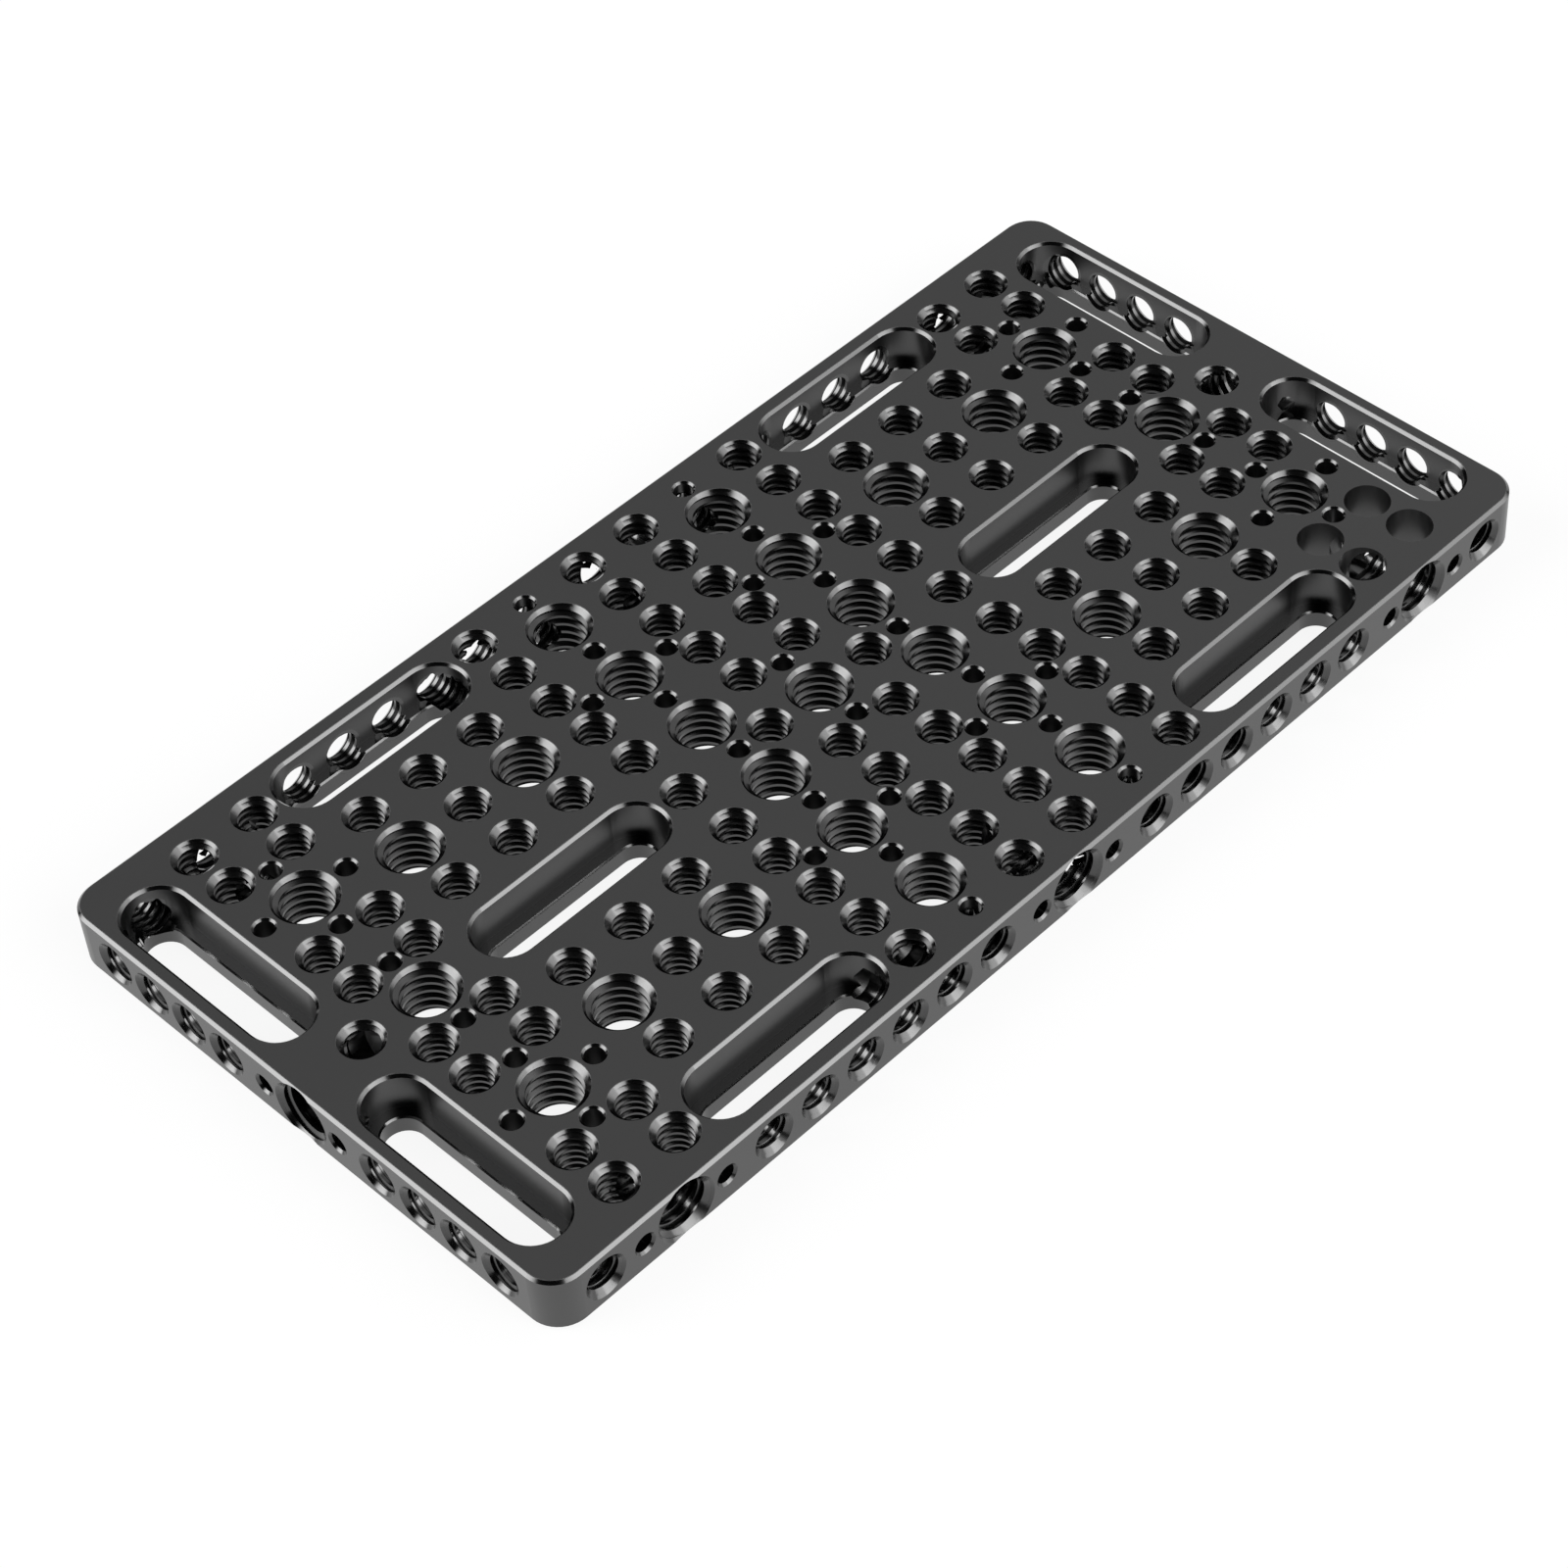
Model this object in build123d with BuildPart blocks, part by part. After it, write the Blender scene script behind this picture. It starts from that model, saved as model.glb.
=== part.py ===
from build123d import *
import os
from math import radians, tan

os.makedirs("parts", exist_ok=True)

# A camera cheese plate: one milled aluminium plate with a field of tapped holes, locating pin
# holes and stepped screw slots, and rows of blind tapped holes in its four sides.
# Millimetres. X runs along the plate, Z up, and the origin is at the middle of the underside.

# Plate
plate_length = 200.0
plate_width = 100.0
plate_thickness = 10.0
corner_radius = 5.0
edge_chamfer = 0.5

# Holes: a tapped bore has the nominal size of its thread, so its wall is the thread's root
quarter_bore = 6.35
quarter_drill = 5.15
large_bore = 9.525
large_drill = 7.94
pin_bore = 3.0
pin_drill = 2.8
plain_bore = 7.06
mouth_chamfer = 0.37
drill_point_angle = 118.0
tool_overrun = 1.0

# Blind holes in the side faces, at half the thickness: end of the full bore, then of the drill
side_quarter_thread = 8.2
side_quarter_depth = 10.0
side_large_thread = 12.0
side_large_depth = 15.0
side_pin_ream = 4.4
side_pin_depth = 5.0

# Slots: a wide pocket for the screw's head over a narrow slot for its shank
pocket_width = 10.0
pocket_depth = 6.6
pocket_rim_chamfer = 0.48
shank_width = 6.4
shank_rim_chamfer = 0.25
shank_mouth_chamfer = 0.5
slot_run = 24.4
end_slot_run = 26.4

# Layout of the upper face, from the middle of the plate or in from its edges
pin_offset = 7.5
column_pitch = 11.0
large_column_x = 16.5
large_row_pitch = 15.0
large_rows = 3
quarter_row_start = 10.0
quarter_row_pitch = 8.5
quarter_rows = 5
centre_row_x = 10.25
block_x = 49.5
block_y = 21.25
block_row_pitch = 9.5
slot_edge_inset = 8.0
end_slot_inset = 7.5
end_slot_y = 25.25
end_column_inset = 23.5
end_near_row = 9.5
end_far_row = 17.5
end_centre_inset = 11.8

# Layout of the side faces
side_quarter_start = 16.5
side_quarter_pitch = 8.75
side_quarter_count = 6
side_corner_inset = 9.0
face_quarter_start = 15.5
face_quarter_pitch = 8.0
face_quarter_count = 4

half_length = plate_length / 2
half_width = plate_width / 2
half_pitch = column_pitch / 2
end_column_x = half_length - end_column_inset
slot_y = half_width - slot_edge_inset
end_slot_x = half_length - end_slot_inset
end_rows = (end_near_row, end_far_row)


def in_all_quarters(points):
    """Mirror places in the +X +Y quarter into the other three, each place once."""
    signs = (1, -1)
    return sorted({(sx * x, sy * y) for x, y in points for sx in signs for sy in signs})


def pins_around(x, y):
    """The four locating pin places around a large hole."""
    steps = ((pin_offset, 0), (-pin_offset, 0), (0, pin_offset), (0, -pin_offset))
    return [(x + dx, y + dy) for dx, dy in steps]


def quarter_places():
    """Quarter inch holes of one quarter of the upper face, the end block's outer ones apart."""
    rows = [quarter_row_start + quarter_row_pitch * row for row in range(quarter_rows)]
    columns = (large_column_x - column_pitch, large_column_x + column_pitch)
    places = [(x, y) for x in columns for y in rows]
    places += [(centre_row_x, 0), (large_column_x + column_pitch, 0), (half_length - end_centre_inset, 0)]
    places += [
        (block_x + column_pitch * step, block_y + side * block_row_pitch)
        for step in (-1, 0, 1)
        for side in (-1, 1)
    ]
    places += [(block_x, block_y)]
    places += [
        (end_column_x + side * half_pitch, end_slot_y - row) for side in (-1, 1) for row in end_rows
    ]
    return places


def end_outer_places():
    """Outer holes of one end block, which are plain in one corner and tapped in the others."""
    return [(end_column_x + side * half_pitch, end_slot_y + row) for side in (-1, 1) for row in end_rows]


def large_places():
    """Three-eighths inch holes of one quarter of the upper face."""
    rows = [large_row_pitch * (row + 0.5) for row in range(large_rows)]
    places = [(0, 0)] + [(large_column_x, y) for y in rows]
    places += [(block_x - column_pitch, block_y), (block_x + column_pitch, block_y)]
    places += [(end_column_x, 0), (end_column_x, end_slot_y)]
    return places


def pin_places():
    """Locating pin holes of one quarter of the upper face."""
    places = [(0, pin_offset), (end_column_x, pin_offset)]
    places += [(large_column_x, large_row_pitch * row) for row in range(large_rows + 1)]
    middle_row = large_row_pitch * (large_rows // 2 + 0.5)
    places += [(large_column_x - pin_offset, middle_row), (large_column_x + pin_offset, middle_row)]
    places += pins_around(end_column_x, end_slot_y)
    return places


def through_tool(bore):
    """A hole through the plate, standing on the origin, with a chamfered mouth on both faces."""
    radius = bore / 2
    flare = radius + mouth_chamfer + tool_overrun
    with BuildPart() as tool:
        with BuildSketch(Plane.XZ):
            with BuildLine():
                Polyline(
                    (0, -tool_overrun),
                    (flare, -tool_overrun),
                    (radius, mouth_chamfer),
                    (radius, plate_thickness - mouth_chamfer),
                    (flare, plate_thickness + tool_overrun),
                    (0, plate_thickness + tool_overrun),
                    close=True,
                )
            make_face()
        revolve(axis=Axis.Z)
    return tool.part


def blind_tool(bore, drill, bore_depth, drill_depth):
    """A blind hole sunk from the origin along -Z: chamfered mouth, bore, drill and drill point."""
    radius = bore / 2
    drill_radius = drill / 2
    tip = drill_depth + drill_radius / tan(radians(drill_point_angle / 2))
    with BuildPart() as tool:
        with BuildSketch(Plane.XZ):
            with BuildLine():
                Polyline(
                    (0, tool_overrun),
                    (radius + mouth_chamfer + tool_overrun, tool_overrun),
                    (radius, -mouth_chamfer),
                    (radius, -bore_depth),
                    (drill_radius, -bore_depth),
                    (drill_radius, -drill_depth),
                    (0, -tip),
                    close=True,
                )
            make_face()
        revolve(axis=Axis.Z)
    return tool.part


def on_faces(face_planes, offsets):
    """Places at both signs of each offset along the middle line of each given side face."""
    signed = sorted({sign * offset for offset in offsets for sign in (1, -1)})
    return [plane.location * Location((offset, 0, 0)) for plane in face_planes for offset in signed]


# Side faces, each plane at half the thickness and facing outward
long_faces = [
    Plane((0, side * half_width, plate_thickness / 2), x_dir=(1, 0, 0), z_dir=(0, side, 0))
    for side in (-1, 1)
]
end_faces = [
    Plane((side * half_length, 0, plate_thickness / 2), x_dir=(0, 1, 0), z_dir=(side, 0, 0))
    for side in (-1, 1)
]
long_large = (0, end_column_x)
long_pins = (pin_offset, end_column_x - pin_offset, end_column_x + pin_offset)
long_quarter = [side_quarter_start + side_quarter_pitch * step for step in range(side_quarter_count)]
long_quarter += [half_length - side_corner_inset]
end_quarter = [face_quarter_start + face_quarter_pitch * step for step in range(face_quarter_count)]

# One corner of the upper face has plain bores, the other three are tapped alike
outer_places = in_all_quarters(end_outer_places())
plain_places = [(x, y) for x, y in outer_places if x > 0 and y < 0]
tapped_outer = [place for place in outer_places if place not in plain_places]
slot_places = in_all_quarters([(block_x, 0), (block_x, slot_y)])
end_slot_places = in_all_quarters([(end_slot_x, end_slot_y)])

quarter_through = through_tool(quarter_bore)
large_through = through_tool(large_bore)
pin_through = through_tool(pin_bore)
quarter_blind = blind_tool(quarter_bore, quarter_drill, side_quarter_thread, side_quarter_depth)
large_blind = blind_tool(large_bore, large_drill, side_large_thread, side_large_depth)
pin_blind = blind_tool(pin_bore, pin_drill, side_pin_ream, side_pin_depth)

with BuildPart() as plate:
    # The blank, with its edges broken
    with BuildSketch():
        RectangleRounded(plate_length, plate_width, corner_radius)
    extrude(amount=plate_thickness)
    upper_face = plate.faces().sort_by(Axis.Z)[-1]
    lower_face = plate.faces().sort_by(Axis.Z)[0]
    chamfer(upper_face.edges() + lower_face.edges(), edge_chamfer)

    # Stepped slots: head pockets from above, then shank slots through what is left
    with BuildSketch(Plane.XY.offset(plate_thickness)):
        with Locations(*slot_places):
            SlotCenterToCenter(slot_run, pocket_width)
        with Locations(*end_slot_places):
            SlotCenterToCenter(end_slot_run, pocket_width, rotation=90)
    extrude(amount=-pocket_depth, mode=Mode.SUBTRACT)
    with BuildSketch():
        with Locations(*slot_places):
            SlotCenterToCenter(slot_run, shank_width)
        with Locations(*end_slot_places):
            SlotCenterToCenter(end_slot_run, shank_width, rotation=90)
    extrude(amount=plate_thickness - pocket_depth, mode=Mode.SUBTRACT)
    levels = plate.faces().filter_by(Axis.Z).group_by(Axis.Z)
    for level, size in (
        (levels[0], shank_mouth_chamfer),
        (levels[1], shank_rim_chamfer),
        (levels[-1], pocket_rim_chamfer),
    ):
        rims = [edge for face in level for wire in face.inner_wires() for edge in wire.edges()]
        chamfer(rims, size)

    # Holes through the plate
    with Locations(*(in_all_quarters(quarter_places()) + tapped_outer)):
        add(quarter_through, mode=Mode.SUBTRACT)
    with Locations(*in_all_quarters(large_places())):
        add(large_through, mode=Mode.SUBTRACT)
    with Locations(*in_all_quarters(pin_places())):
        add(pin_through, mode=Mode.SUBTRACT)
    with Locations(*plain_places):
        Hole(plain_bore / 2)

    # Blind holes in the four side faces
    with Locations(*(on_faces(long_faces, long_quarter) + on_faces(end_faces, end_quarter))):
        add(quarter_blind, mode=Mode.SUBTRACT)
    with Locations(*(on_faces(long_faces, long_large) + on_faces(end_faces, [0]))):
        add(large_blind, mode=Mode.SUBTRACT)
    with Locations(*(on_faces(long_faces, long_pins) + on_faces(end_faces, [pin_offset]))):
        add(pin_blind, mode=Mode.SUBTRACT)

plate.part.label = "mounting_plate"
export_step(plate.part, "parts/mounting_plate.step")
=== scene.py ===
from math import cos, pi, radians, sin, tan

import bmesh
import bpy
from mathutils import Matrix, Vector


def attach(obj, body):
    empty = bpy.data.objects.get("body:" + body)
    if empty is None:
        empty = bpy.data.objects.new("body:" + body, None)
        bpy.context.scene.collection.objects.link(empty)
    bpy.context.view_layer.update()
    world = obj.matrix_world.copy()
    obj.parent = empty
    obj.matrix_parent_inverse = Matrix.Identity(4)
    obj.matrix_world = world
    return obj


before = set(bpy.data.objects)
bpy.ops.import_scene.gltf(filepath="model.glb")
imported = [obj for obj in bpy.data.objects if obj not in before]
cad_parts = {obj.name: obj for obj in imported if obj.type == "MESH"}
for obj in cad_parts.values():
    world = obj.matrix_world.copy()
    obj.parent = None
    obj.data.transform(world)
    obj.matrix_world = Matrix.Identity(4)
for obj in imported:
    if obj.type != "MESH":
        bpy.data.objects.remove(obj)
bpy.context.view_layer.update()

# Sizes in millimetres, the same as in the CAD source
MM = 0.001
LENGTH = 200.0
WIDTH = 100.0
THICKNESS = 10.0
MOUTH_CHAMFER = 0.37
POINT_ANGLE = 118.0

# Slots: half widths, depth and chamfers
POCKET_HALF = 5.0
POCKET_DEPTH = 6.6
POCKET_RIM = 0.48
SHANK_HALF = 3.2
SHANK_RIM = 0.25
SHANK_MOUTH = 0.5
SLOT_RUN = 24.4
END_SLOT_RUN = 26.4

# Layout of the upper face
PIN_OFFSET = 7.5
COLUMN_PITCH = 11.0
LARGE_COLUMN_X = 16.5
LARGE_ROW_PITCH = 15.0
QUARTER_ROWS = [10.0 + 8.5 * row for row in range(5)]
CENTRE_ROW_X = 10.25
BLOCK_X = 49.5
BLOCK_Y = 21.25
BLOCK_ROW_PITCH = 9.5
SLOT_Y = 42.0
END_SLOT_X = 92.5
END_SLOT_Y = 25.25
END_COLUMN_X = 76.5
END_ROWS = (9.5, 17.5)
END_CENTRE_X = 88.2

# Layout of the side faces
LONG_FACE_QUARTER = [16.5 + 8.75 * step for step in range(6)] + [91.0]
LONG_FACE_PINS = (PIN_OFFSET, END_COLUMN_X - PIN_OFFSET, END_COLUMN_X + PIN_OFFSET)
END_FACE_QUARTER = [15.5 + 8.0 * step for step in range(4)]

# Threads: major and minor radius, pitch and number of facets around
QUARTER = {"major": 3.175, "minor": 2.575, "pitch": 1.27, "columns": 40}
LARGE = {"major": 4.7625, "minor": 3.97, "pitch": 1.5875, "columns": 52}
FLANK = tan(radians(30))
ROOT_GAP = 0.055
WALL_BITE = 0.02
MOUTH_EASE = 0.004

# Hole depths below each side face: end of the thread, then of the drill
SIDE_QUARTER = (8.2, 10.0)
SIDE_LARGE = (12.0, 15.0)

# Where the threads of the side faces' holes start, in degrees around the hole
LONG_FACE_START = 180.0
END_FACE_START = 295.0
END_FACE_LARGE_START = 205.0

# Smooth holes, which cut the threads that they meet
PIN_RADIUS = 1.5
SIDE_PIN_DEPTH = 5.0
PLAIN_RADIUS = 3.53

# How far the tools for cutting run past a face, into each other and above a blind hole's mouth
OVERRUN = 1.0
DRILL_OVERLAP = 0.5
SLEEVE_RISE = 0.5
CONE_TIP = 0.5
SMOOTH_COLUMNS = 32
STADIUM_STEPS = 24
MERGE_DISTANCE = 1e-5
DEGENERATE_LENGTH = 1e-6
RIM_TOLERANCE = 1e-4

# Finish: roughness of the upright walls, of what is cut bright, of the faces that are blasted matt,
# and of the threads, with the dye's colour and the clear film's index of refraction
WALL_ROUGHNESS = 0.32
CUT_ROUGHNESS = 0.13
MATT_ROUGHNESS = 0.6
THREAD_ROUGHNESS = 0.18
DYE = (0.001, 0.001, 0.00105, 1)
FILM_IOR = 1.76
WALL_SLOPE = (0.3, 0.6)
MATT_BAND = (0.0049, 0.00495)
HALF_HEIGHT = THICKNESS / 2 * MM
GRAIN_SCALE = 9000.0
GRAIN_DETAIL = 2.0
GRAIN_DEPTH = 0.00001
BODY_GRAIN = 0.15
PATCH_SCALE = 60.0
PATCH_DETAIL = 4.0
PATCH_RANGE = (0.92, 1.08)
SHARP_ANGLE = 35

# Floor: half its width and its drop below the plate in metres, the paper's colour, and the glow's share
FLOOR_SIZE = 4.0
FLOOR_DROP = 0.0002
PAPER = (0.8, 0.8, 0.8, 1)
FLOOR_GLOW_SHARE = 0.9

# Soft boxes: direction, the angles in degrees where each starts to fade and ends, and its strength
AMBIENT = 0.011
SOFT_BOXES = (
    ((-0.704, 0.560, 0.437), 1, 34.8, 7.3),
    ((0.117, -0.839, 0.532), 18, 25.2, 2.64),
    ((0.408, -0.894, 0.184), 1, 56.4, 4.06),
    ((0.679, 0.136, 0.721), 1, 53.0, 0.82),
)

# Camera: the photograph's place in metres, its axes, lens in millimetres and small lens shift
CAMERA_PLACE = (-0.276504, -0.300314, 0.423864)
CAMERA_RIGHT = Vector((0.69590, -0.71622, -0.05254))
CAMERA_UP = Vector((0.54468, 0.47871, 0.68860))
CAMERA_FORWARD = Vector((0.46803, 0.50781, -0.72324))
SENSOR_WIDTH = 36.0
LENS = 92.37
LENS_SHIFT = (-0.0267, -0.0209)


def mirrored(points):
    """Places in the +X +Y quarter and their mirror images in the other three, each once."""
    return sorted({(sx * x, sy * y) for x, y in points for sx in (1, -1) for sy in (1, -1)})


def end_block(rows):
    """Both columns of an end block's quarter inch holes at the given rows."""
    columns = (END_COLUMN_X - COLUMN_PITCH / 2, END_COLUMN_X + COLUMN_PITCH / 2)
    return mirrored([(x, y) for x in columns for y in rows])


def end_outer_places():
    return end_block([END_SLOT_Y + row for row in END_ROWS])


def plain_places():
    return [(x, y) for x, y in end_outer_places() if x > 0 and y < 0]


def upper_quarter_places():
    columns = (LARGE_COLUMN_X - COLUMN_PITCH, LARGE_COLUMN_X + COLUMN_PITCH)
    points = [(x, y) for x in columns for y in QUARTER_ROWS]
    points += [(CENTRE_ROW_X, 0), (columns[1], 0), (END_CENTRE_X, 0), (BLOCK_X, BLOCK_Y)]
    points += [
        (BLOCK_X + COLUMN_PITCH * step, BLOCK_Y + BLOCK_ROW_PITCH * side)
        for step in (-1, 0, 1)
        for side in (-1, 1)
    ]
    points += end_block([END_SLOT_Y - row for row in END_ROWS])
    plain = plain_places()
    return mirrored(points) + [place for place in end_outer_places() if place not in plain]


def upper_large_places():
    points = [(0, 0), (END_COLUMN_X, 0), (END_COLUMN_X, END_SLOT_Y)]
    points += [(LARGE_COLUMN_X, LARGE_ROW_PITCH * (row + 0.5)) for row in range(3)]
    points += [(BLOCK_X - COLUMN_PITCH, BLOCK_Y), (BLOCK_X + COLUMN_PITCH, BLOCK_Y)]
    return mirrored(points)


def upper_pin_places():
    middle_row = LARGE_ROW_PITCH * 1.5
    points = [(0, PIN_OFFSET), (END_COLUMN_X, PIN_OFFSET)]
    points += [(LARGE_COLUMN_X + side * PIN_OFFSET, middle_row) for side in (-1, 1)]
    points += [(LARGE_COLUMN_X, LARGE_ROW_PITCH * row) for row in range(4)]
    points += [(END_COLUMN_X + side * PIN_OFFSET, END_SLOT_Y) for side in (-1, 1)]
    points += [(END_COLUMN_X, END_SLOT_Y + side * PIN_OFFSET) for side in (-1, 1)]
    return mirrored(points)


# Mesh helpers: every mesh is built in millimetres and scaled when its piece is made


def mesh_object(name, bm):
    bmesh.ops.recalc_face_normals(bm, faces=bm.faces)
    mesh = bpy.data.meshes.new(name)
    bm.to_mesh(mesh)
    bm.free()
    obj = bpy.data.objects.new(name, mesh)
    bpy.context.scene.collection.objects.link(obj)
    return obj


def lathe(name, profile, columns):
    """Turns a closed (radius, height) profile that starts and ends on the axis."""
    bm = bmesh.new()
    rings = []
    for radius, height in profile:
        if radius == 0:
            rings.append([bm.verts.new((0, 0, height))])
        else:
            angles = [2 * pi * i / columns for i in range(columns)]
            rings.append([bm.verts.new((radius * cos(a), radius * sin(a), height)) for a in angles])
    for low, high in zip(rings, rings[1:]):
        for i in range(columns):
            j = (i + 1) % columns
            corners = [low[i % len(low)], low[j % len(low)], high[j % len(high)], high[i % len(high)]]
            unique = list(dict.fromkeys(corners))
            bm.faces.new(unique)
    return mesh_object(name, bm)


def thread_rod(name, thread, start, stop):
    """The free space inside a right-hand internal thread, cut square at both ends."""
    root = thread["major"] - ROOT_GAP
    minor = thread["minor"]
    pitch = thread["pitch"]
    columns = thread["columns"]
    rise = (root - minor) * FLANK
    root_flat = pitch / 8 + 2 * ROOT_GAP * FLANK
    crest_flat = pitch - root_flat - 2 * rise
    stations = [
        (0, minor),
        (crest_flat, minor),
        (crest_flat + rise, root),
        (pitch - rise, root),
        (pitch, minor),
    ]

    def radius_at(offset):
        offset %= pitch
        for (z0, r0), (z1, r1) in zip(stations, stations[1:]):
            if offset <= z1:
                return r0 + (r1 - r0) * (offset - z0) / (z1 - z0)
        return minor

    # The strip starts a turn and a half early and ends late enough to pass both square ends
    turns = int((stop - start) / pitch) + 3
    first = start - 1.5 * pitch
    bm = bmesh.new()
    strip = []
    for i in range((turns + 1) * columns + 1):
        angle = 2 * pi * i / columns
        base = first + pitch * i / columns
        column = []
        for offset, radius in stations[:-1]:
            height = base + offset
            if height < start or height > stop:
                height = min(max(height, start), stop)
                radius = radius_at(height - base)
            column.append(bm.verts.new((radius * cos(angle), radius * sin(angle), height)))
        strip.append(column)
    for i in range(turns * columns):
        here, there, above, beyond = strip[i], strip[i + 1], strip[i + columns], strip[i + columns + 1]
        for m in range(3):
            bm.faces.new((here[m], there[m], there[m + 1], here[m + 1]))
        bm.faces.new((here[3], there[3], beyond[0], above[0]))
    bmesh.ops.remove_doubles(bm, verts=bm.verts, dist=MERGE_DISTANCE)
    bmesh.ops.dissolve_degenerate(bm, dist=DEGENERATE_LENGTH, edges=bm.edges)
    for height in (start, stop):
        boundary = [edge for edge in bm.edges if edge.is_boundary]
        rim = [edge for edge in boundary if abs(edge.verts[0].co.z - height) < RIM_TOLERANCE]
        centre = bm.verts.new((0, 0, height))
        for edge in rim:
            bm.faces.new((edge.verts[0], edge.verts[1], centre))
    return mesh_object(name, bm)


def stadium_void(name, run):
    """The free space of a stepped slot along X, centred on the origin."""
    ledge = THICKNESS - POCKET_DEPTH
    levels = (
        (-OVERRUN, SHANK_HALF + SHANK_MOUTH + OVERRUN),
        (SHANK_MOUTH, SHANK_HALF),
        (ledge - SHANK_RIM, SHANK_HALF),
        (ledge, SHANK_HALF + SHANK_RIM),
        (ledge, POCKET_HALF),
        (THICKNESS - POCKET_RIM, POCKET_HALF),
        (THICKNESS + OVERRUN, POCKET_HALF + POCKET_RIM + OVERRUN),
    )
    bm = bmesh.new()
    rings = []
    for height, half in levels:
        ring = []
        for side in (1, -1):
            for i in range(STADIUM_STEPS + 1):
                angle = (-0.5 + i / STADIUM_STEPS) * pi + (0 if side == 1 else pi)
                x = side * run / 2 + half * cos(angle)
                ring.append(bm.verts.new((x, half * sin(angle), height)))
        rings.append(ring)
    count = len(rings[0])
    for low, high in zip(rings, rings[1:]):
        for i in range(count):
            j = (i + 1) % count
            bm.faces.new((low[i], low[j], high[j], high[i]))
    bm.faces.new(rings[0])
    bm.faces.new(rings[-1])
    return mesh_object(name, bm)


def combine(obj, others, operation):
    """Applies a boolean of obj with each of the others and returns the new mesh."""
    for other in others:
        modifier = obj.modifiers.new("combine", "BOOLEAN")
        modifier.operation = operation
        modifier.solver = "MANIFOLD"
        modifier.object = other
    bpy.context.view_layer.update()
    evaluated = obj.evaluated_get(bpy.context.evaluated_depsgraph_get())
    mesh = bpy.data.meshes.new_from_object(evaluated)
    obj.modifiers.clear()
    return mesh


def replace_mesh(obj, mesh):
    old = obj.data
    obj.data = mesh
    bpy.data.meshes.remove(old)


def placed_copy(obj, place):
    copy = obj.copy()
    bpy.context.scene.collection.objects.link(copy)
    copy.matrix_world = place
    return copy


def cone_profile(radius, height, up):
    """A 45 degree cone whose radius is given at height and that opens towards up."""
    tip = height - up * (radius - CONE_TIP)
    base = height + up * OVERRUN
    ends = [(0, tip), (CONE_TIP, tip), (radius + OVERRUN, base), (0, base)]
    return ends if up > 0 else ends[::-1]


def joined_void(rod, others):
    """The rod with the other solids added to it, which are then removed."""
    replace_mesh(rod, combine(rod, others, "UNION"))
    for other in others:
        bpy.data.objects.remove(other)
    return rod


def through_void(name, thread):
    """The free space of a tapped hole from the underside to the upper face."""
    rod = thread_rod(name, thread, -OVERRUN, THICKNESS + OVERRUN)
    mouth = thread["major"] + MOUTH_CHAMFER + MOUTH_EASE
    cones = [
        lathe(name + "_top", cone_profile(mouth, THICKNESS, 1), thread["columns"]),
        lathe(name + "_base", cone_profile(mouth, 0.0, -1), thread["columns"]),
    ]
    return joined_void(rod, cones)


def blind_void(name, thread, depths):
    """The free space of a blind tapped hole that opens at height 0 and goes down."""
    threaded, drilled = depths
    minor = thread["minor"]
    rod = thread_rod(name, thread, -threaded, OVERRUN)
    mouth = thread["major"] + MOUTH_CHAMFER + MOUTH_EASE
    tip = drilled + minor / tan(radians(POINT_ANGLE / 2))
    top = -threaded + DRILL_OVERLAP
    others = [
        lathe(name + "_mouth", cone_profile(mouth, 0.0, 1), thread["columns"]),
        lathe(name + "_drill", [(0, -tip), (minor, -drilled), (minor, top), (0, top)], thread["columns"]),
    ]
    return joined_void(rod, others)


def cylinder(name, radius, low, high, columns):
    return lathe(name, [(0, low), (radius, low), (radius, high), (0, high)], columns)


def sleeve(name, thread, void, low, high):
    """The thread's ridges: a tube that bites a little into the bore's wall, less the free space."""
    blank = cylinder(name, thread["major"] + WALL_BITE, low, high, thread["columns"])
    replace_mesh(blank, combine(blank, [void], "DIFFERENCE"))
    return blank


# Free space and ridges of each kind of hole, at the origin, a smooth hole having no ridges
KINDS = {}
for kind, thread, depths in (
    ("quarter", QUARTER, None),
    ("large", LARGE, None),
    ("side_quarter", QUARTER, SIDE_QUARTER),
    ("side_large", LARGE, SIDE_LARGE),
):
    if depths is None:
        void = through_void(kind + "_void", thread)
        ridges = sleeve(kind + "_ridges", thread, void, 0.0, THICKNESS)
        span = (0, THICKNESS)
    else:
        void = blind_void(kind + "_void", thread, depths)
        ridges = sleeve(kind + "_ridges", thread, void, -depths[0] - WALL_BITE, SLEEVE_RISE)
        span = (-depths[1] - thread["minor"], 0)
    reach = thread["major"] + MOUTH_CHAMFER
    KINDS[kind] = {"void": void, "ridges": ridges, "radius": reach, "span": span}
for kind, radius, span in (
    ("pin", PIN_RADIUS, (-OVERRUN, THICKNESS + OVERRUN)),
    ("plain", PLAIN_RADIUS, (-OVERRUN, THICKNESS + OVERRUN)),
    ("side_pin", PIN_RADIUS, (-SIDE_PIN_DEPTH, OVERRUN)),
):
    void = cylinder(kind + "_void", radius, *span, SMOOTH_COLUMNS)
    KINDS[kind] = {"void": void, "radius": radius, "span": span}
slot_void = stadium_void("slot_void", SLOT_RUN)
end_slot_void = stadium_void("end_slot_void", END_SLOT_RUN)


def side_place(x, y, outward, start):
    """Place of a hole in a side face, with the angle in degrees where its thread starts."""
    spin = Matrix.Rotation(radians(start), 4, "Z")
    return Matrix.Translation((x, y, THICKNESS / 2)) @ outward @ spin


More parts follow.
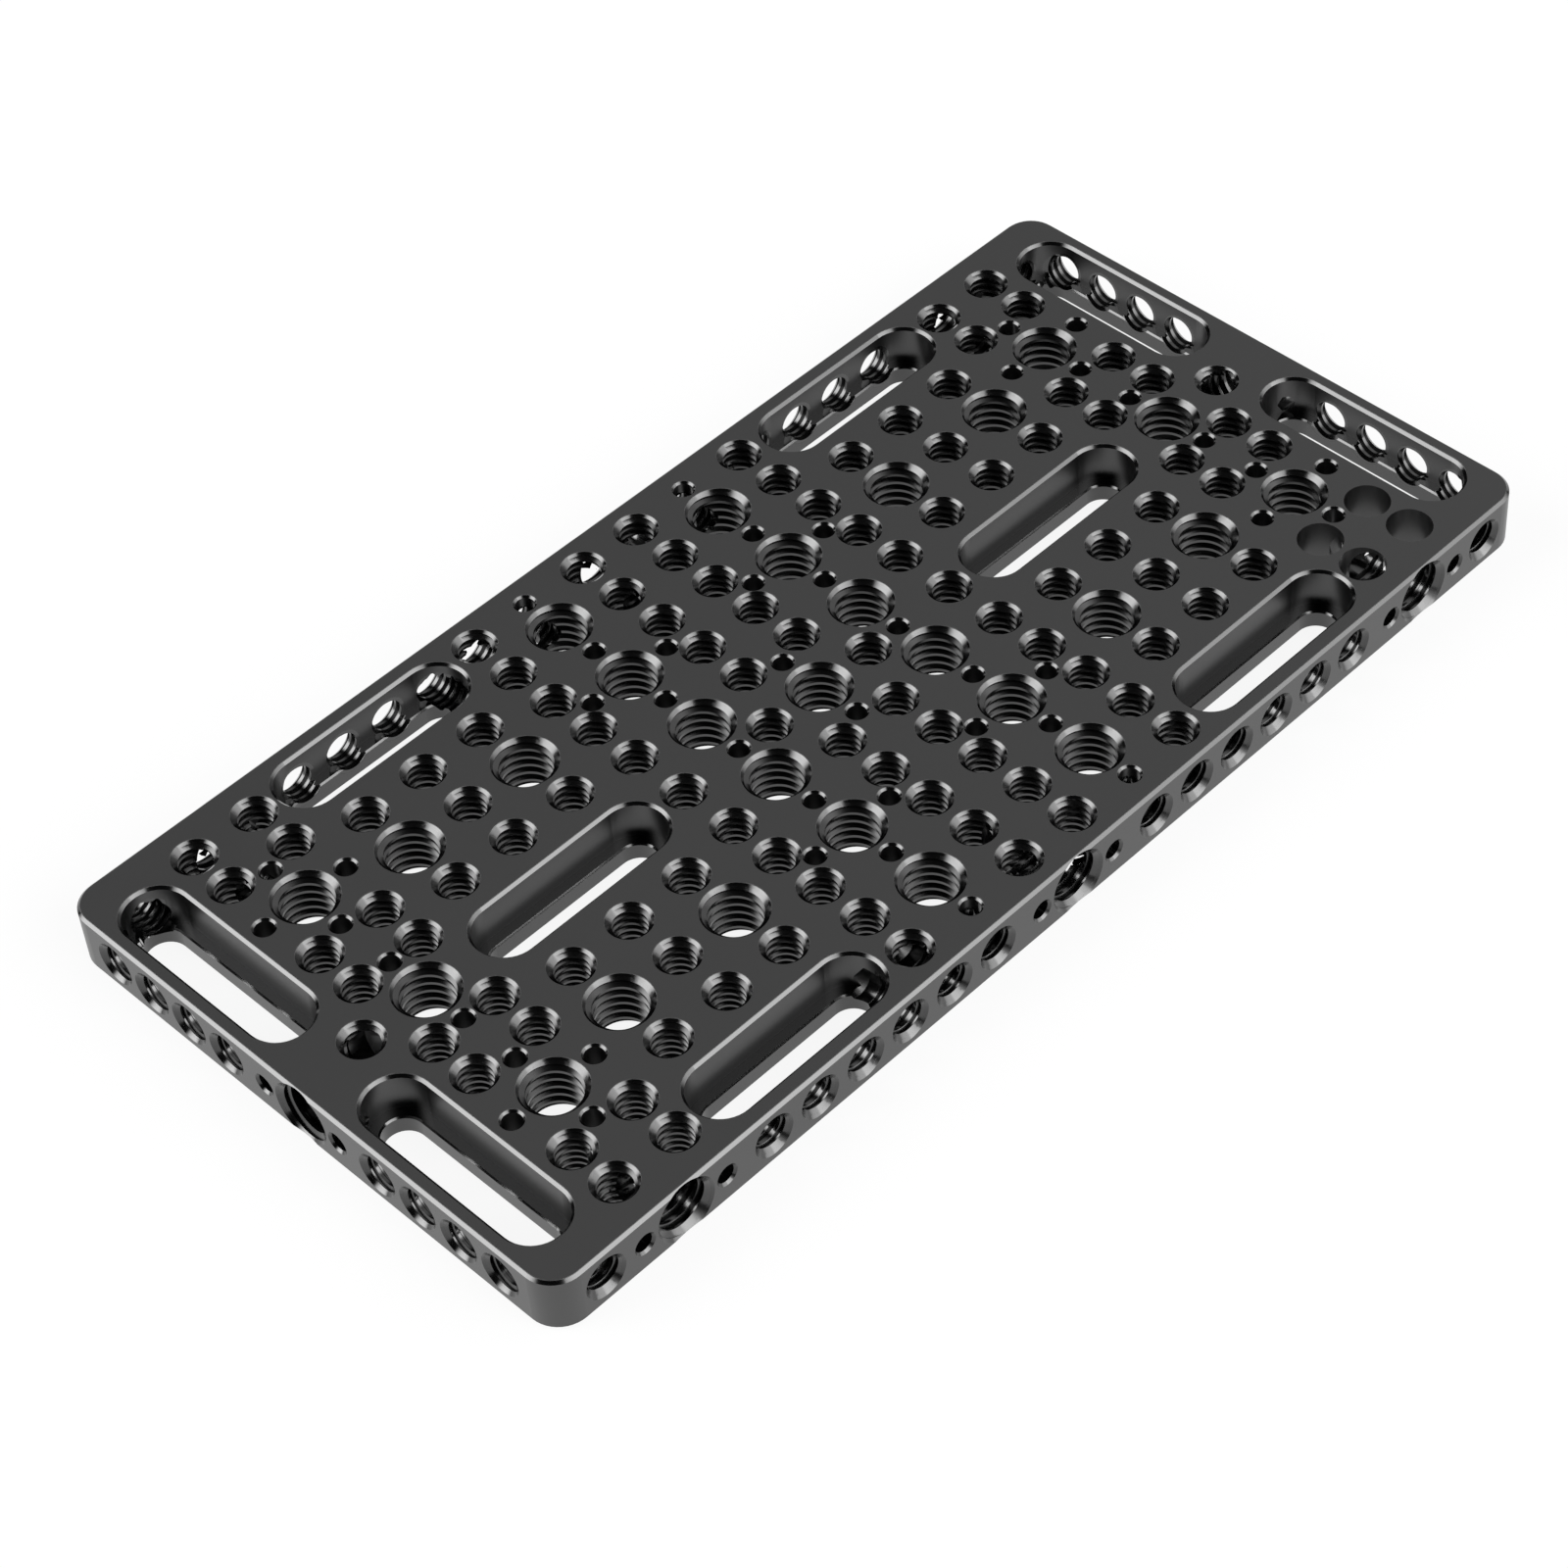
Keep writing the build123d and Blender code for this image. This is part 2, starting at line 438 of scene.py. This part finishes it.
# Every hole: its kind, the piece it belongs to and its place
holes = []
for x, y in upper_quarter_places():
    piece = "thread_quarter_left" if x < 0 else "thread_quarter_right"
    holes.append(("quarter", piece, Matrix.Translation((x, y, 0))))
for x, y in upper_large_places():
    holes.append(("large", "thread_large", Matrix.Translation((x, y, 0))))
for x, y in upper_pin_places():
    holes.append(("pin", None, Matrix.Translation((x, y, 0))))
for x, y in plain_places():
    holes.append(("plain", None, Matrix.Translation((x, y, 0))))
for side in (-1, 1):
    outward = Matrix.Rotation(radians(-90 * side), 4, "X")
    y = side * WIDTH / 2
    for sign in (-1, 1):
        for x in LONG_FACE_QUARTER:
            place = side_place(sign * x, y, outward, LONG_FACE_START)
            holes.append(("side_quarter", "thread_sides", place))
        for x in LONG_FACE_PINS:
            holes.append(("side_pin", None, side_place(sign * x, y, outward, 0.0)))
    for x in (-END_COLUMN_X, 0.0, END_COLUMN_X):
        place = side_place(x, y, outward, LONG_FACE_START)
        holes.append(("side_large", "thread_sides_large", place))
    outward = Matrix.Rotation(radians(90 * side), 4, "Y")
    x = side * LENGTH / 2
    for sign in (-1, 1):
        for y in END_FACE_QUARTER:
            place = side_place(x, sign * y, outward, END_FACE_START)
            holes.append(("side_quarter", "thread_sides", place))
        holes.append(("side_pin", None, side_place(x, sign * PIN_OFFSET, outward, 0.0)))
    place = side_place(x, 0.0, outward, END_FACE_LARGE_START)
    holes.append(("side_large", "thread_sides_large", place))

# Every slot: its free space, its place and its box
slots = []
for x in (-BLOCK_X, BLOCK_X):
    for y in (-SLOT_Y, 0.0, SLOT_Y):
        hx, hy = SLOT_RUN / 2 + POCKET_HALF, POCKET_HALF
        box = [[x - hx, y - hy, 0], [x + hx, y + hy, THICKNESS]]
        slots.append((slot_void, Matrix.Translation((x, y, 0)), box))
for x in (-END_SLOT_X, END_SLOT_X):
    for y in (-END_SLOT_Y, END_SLOT_Y):
        hx, hy = POCKET_HALF, END_SLOT_RUN / 2 + POCKET_HALF
        box = [[x - hx, y - hy, 0], [x + hx, y + hy, THICKNESS]]
        place = Matrix.Translation((x, y, 0)) @ Matrix.Rotation(radians(90), 4, "Z")
        slots.append((end_slot_void, place, box))


def hole_box(kind, place):
    """Lowest and highest corner of the space that a hole takes."""
    radius = KINDS[kind]["radius"]
    signs = (-1, 1)
    corners = [(sx * radius, sy * radius, z) for sx in signs for sy in signs for z in KINDS[kind]["span"]]
    placed = [place @ Vector(corner) for corner in corners]
    return [[pick(corner[k] for corner in placed) for k in range(3)] for pick in (min, max)]


def meets(a, b):
    return all(a[0][k] < b[1][k] and b[0][k] < a[1][k] for k in range(3))


# The ridges of each threaded hole, cut by every hole and slot that they meet, gathered by piece
boxes = [hole_box(kind, place) for kind, _, place in holes]
groups = {}
for index, (kind, piece, place) in enumerate(holes):
    if piece is None:
        continue
    cutters = []
    for other, (other_kind, _, other_place) in enumerate(holes):
        if other != index and meets(boxes[index], boxes[other]):
            cutters.append(placed_copy(KINDS[other_kind]["void"], other_place))
    for void, slot_place, box in slots:
        if meets(boxes[index], box):
            cutters.append(placed_copy(void, slot_place))
    part = placed_copy(KINDS[kind]["ridges"], place)
    mesh = combine(part, cutters, "DIFFERENCE") if cutters else part.data.copy()
    mesh.transform(Matrix.Scale(MM, 4) @ place)
    groups.setdefault(piece, []).append(mesh)
    for copy in cutters + [part]:
        bpy.data.objects.remove(copy)

for kind in KINDS.values():
    bpy.data.objects.remove(kind["void"])
    if "ridges" in kind:
        bpy.data.objects.remove(kind["ridges"])
bpy.data.objects.remove(slot_void)
bpy.data.objects.remove(end_slot_void)


# Material helpers


def maths(tree, operation, *values):
    """A Math node fed with plain numbers or other nodes' outputs."""
    node = tree.nodes.new("ShaderNodeMath")
    node.operation = operation
    for socket, value in zip(node.inputs, values):
        if isinstance(value, float):
            socket.default_value = value
        else:
            tree.links.new(value, socket)
    return node.outputs["Value"]


def ramp(tree, value, source, target, interpolation="LINEAR"):
    """Maps a value from one span to another and holds it within them."""
    span = tree.nodes.new("ShaderNodeMapRange")
    span.interpolation_type = interpolation
    span.inputs["From Min"].default_value, span.inputs["From Max"].default_value = source
    span.inputs["To Min"].default_value, span.inputs["To Max"].default_value = target
    tree.links.new(value, span.inputs["Value"])
    return span.outputs["Result"]


def away_in_z(tree, vector, middle):
    """How far the Z part of a vector is from a middle value, either way."""
    parts = tree.nodes.new("ShaderNodeSeparateXYZ")
    tree.links.new(vector, parts.inputs["Vector"])
    return maths(tree, "ABSOLUTE", maths(tree, "SUBTRACT", parts.outputs["Z"], middle))


def noise(tree, vector, scale, detail):
    node = tree.nodes.new("ShaderNodeTexNoise")
    node.inputs["Scale"].default_value = scale
    node.inputs["Detail"].default_value = detail
    tree.links.new(vector, node.inputs["Vector"])
    return node.outputs["Fac"]


def anodised(name, wall, cut, matt, grain):
    """Black anodised aluminium: a dark dyed layer, with the roughness of its upright walls, of what
    is cut bright, and of the upper face and underside, which are blasted matt."""
    material = bpy.data.materials.new(name)
    material.use_nodes = True
    tree = material.node_tree
    shader = tree.nodes["Principled BSDF"]
    shader.inputs["Base Color"].default_value = DYE
    shader.inputs["IOR"].default_value = FILM_IOR
    place = tree.nodes.new("ShaderNodeTexCoord")
    bump = tree.nodes.new("ShaderNodeBump")
    bump.inputs["Strength"].default_value = grain
    bump.inputs["Distance"].default_value = GRAIN_DEPTH
    fine = noise(tree, place.outputs["Object"], GRAIN_SCALE, GRAIN_DETAIL)
    tree.links.new(fine, bump.inputs["Height"])
    tree.links.new(bump.outputs["Normal"], shader.inputs["Normal"])
    slope = away_in_z(tree, place.outputs["Normal"], 0.0)
    height = away_in_z(tree, place.outputs["Object"], HALF_HEIGHT)
    machined = ramp(tree, slope, WALL_SLOPE, (wall, cut))
    broad = ramp(tree, height, MATT_BAND, (0.0, matt))
    cloud = noise(tree, place.outputs["Object"], PATCH_SCALE, PATCH_DETAIL)
    patches = ramp(tree, cloud, (0.0, 1.0), PATCH_RANGE)
    roughness = maths(tree, "MULTIPLY", maths(tree, "MAXIMUM", machined, broad), patches)
    tree.links.new(roughness, shader.inputs["Roughness"])
    return material


body_finish = anodised("black_anodised", WALL_ROUGHNESS, CUT_ROUGHNESS, MATT_ROUGHNESS, BODY_GRAIN)
thread_finish = anodised(
    "black_anodised_thread", THREAD_ROUGHNESS, THREAD_ROUGHNESS, THREAD_ROUGHNESS, 0.0
)

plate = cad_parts["mounting_plate"]
plate.data.materials.clear()
plate.data.materials.append(body_finish)

for name, meshes in groups.items():
    bm = bmesh.new()
    for mesh in meshes:
        bm.from_mesh(mesh)
        bpy.data.meshes.remove(mesh)
    piece = mesh_object(name, bm)
    piece.data.shade_smooth()
    piece.data.set_sharp_from_angle(angle=radians(SHARP_ANGLE))
    piece.data.materials.append(thread_finish)
    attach(piece, "root")


def paper_floor():
    """White paper in daylight, with a glow that only the camera, reflections and what is seen through
    glass get, so that it stays white behind the plate and still takes a shadow."""
    bm = bmesh.new()
    bmesh.ops.create_grid(bm, x_segments=1, y_segments=1, size=FLOOR_SIZE)
    floor = mesh_object("floor", bm)
    floor.location.z = -FLOOR_DROP
    material = bpy.data.materials.new("floor_white")
    material.use_nodes = True
    tree = material.node_tree
    paper = tree.nodes["Principled BSDF"]
    paper.inputs["Base Color"].default_value = PAPER
    paper.inputs["Specular IOR Level"].default_value = 0.0
    paper.inputs["Roughness"].default_value = 1.0
    glow = tree.nodes.new("ShaderNodeEmission")
    rays = tree.nodes.new("ShaderNodeLightPath").outputs
    mirrored_too = maths(tree, "MAXIMUM", rays["Is Camera Ray"], rays["Is Glossy Ray"])
    seen = maths(tree, "MAXIMUM", mirrored_too, rays["Is Transmission Ray"])
    blend = tree.nodes.new("ShaderNodeMixShader")
    tree.links.new(maths(tree, "MULTIPLY", seen, FLOOR_GLOW_SHARE), blend.inputs["Fac"])
    tree.links.new(paper.outputs["BSDF"], blend.inputs[1])
    tree.links.new(glow.outputs["Emission"], blend.inputs[2])
    tree.links.new(blend.outputs["Shader"], tree.nodes["Material Output"].inputs["Surface"])
    floor.data.materials.append(material)


def studio():
    """A world of soft boxes that fade at their edges, over a little light from all sides."""
    world = bpy.data.worlds.new("studio")
    world.use_nodes = True
    bpy.context.scene.world = world
    tree = world.node_tree
    direction = tree.nodes.new("ShaderNodeTexCoord").outputs["Generated"]
    total = maths(tree, "ADD", AMBIENT, 0.0)
    for towards, inner, outer, strength in SOFT_BOXES:
        dot = tree.nodes.new("ShaderNodeVectorMath")
        dot.operation = "DOT_PRODUCT"
        tree.links.new(direction, dot.inputs[0])
        dot.inputs[1].default_value = Vector(towards).normalized()
        edges = (cos(radians(outer)), cos(radians(inner)))
        box = ramp(tree, dot.outputs["Value"], edges, (0.0, strength), "SMOOTHSTEP")
        total = maths(tree, "ADD", total, box)
    tree.links.new(total, tree.nodes["Background"].inputs["Color"])


def photo_camera():
    """The camera at the photograph's place and angle, with its framing."""
    data = bpy.data.cameras.new("camera")
    camera = bpy.data.objects.new("camera", data)
    bpy.context.scene.collection.objects.link(camera)
    turn = Matrix((CAMERA_RIGHT, CAMERA_UP, -CAMERA_FORWARD)).transposed().to_4x4()
    camera.matrix_world = Matrix.Translation(CAMERA_PLACE) @ turn
    data.sensor_width = SENSOR_WIDTH
    data.lens = LENS
    data.shift_x, data.shift_y = LENS_SHIFT
    bpy.context.scene.camera = camera


paper_floor()
studio()
photo_camera()
bpy.context.scene.view_settings.view_transform = "Standard"
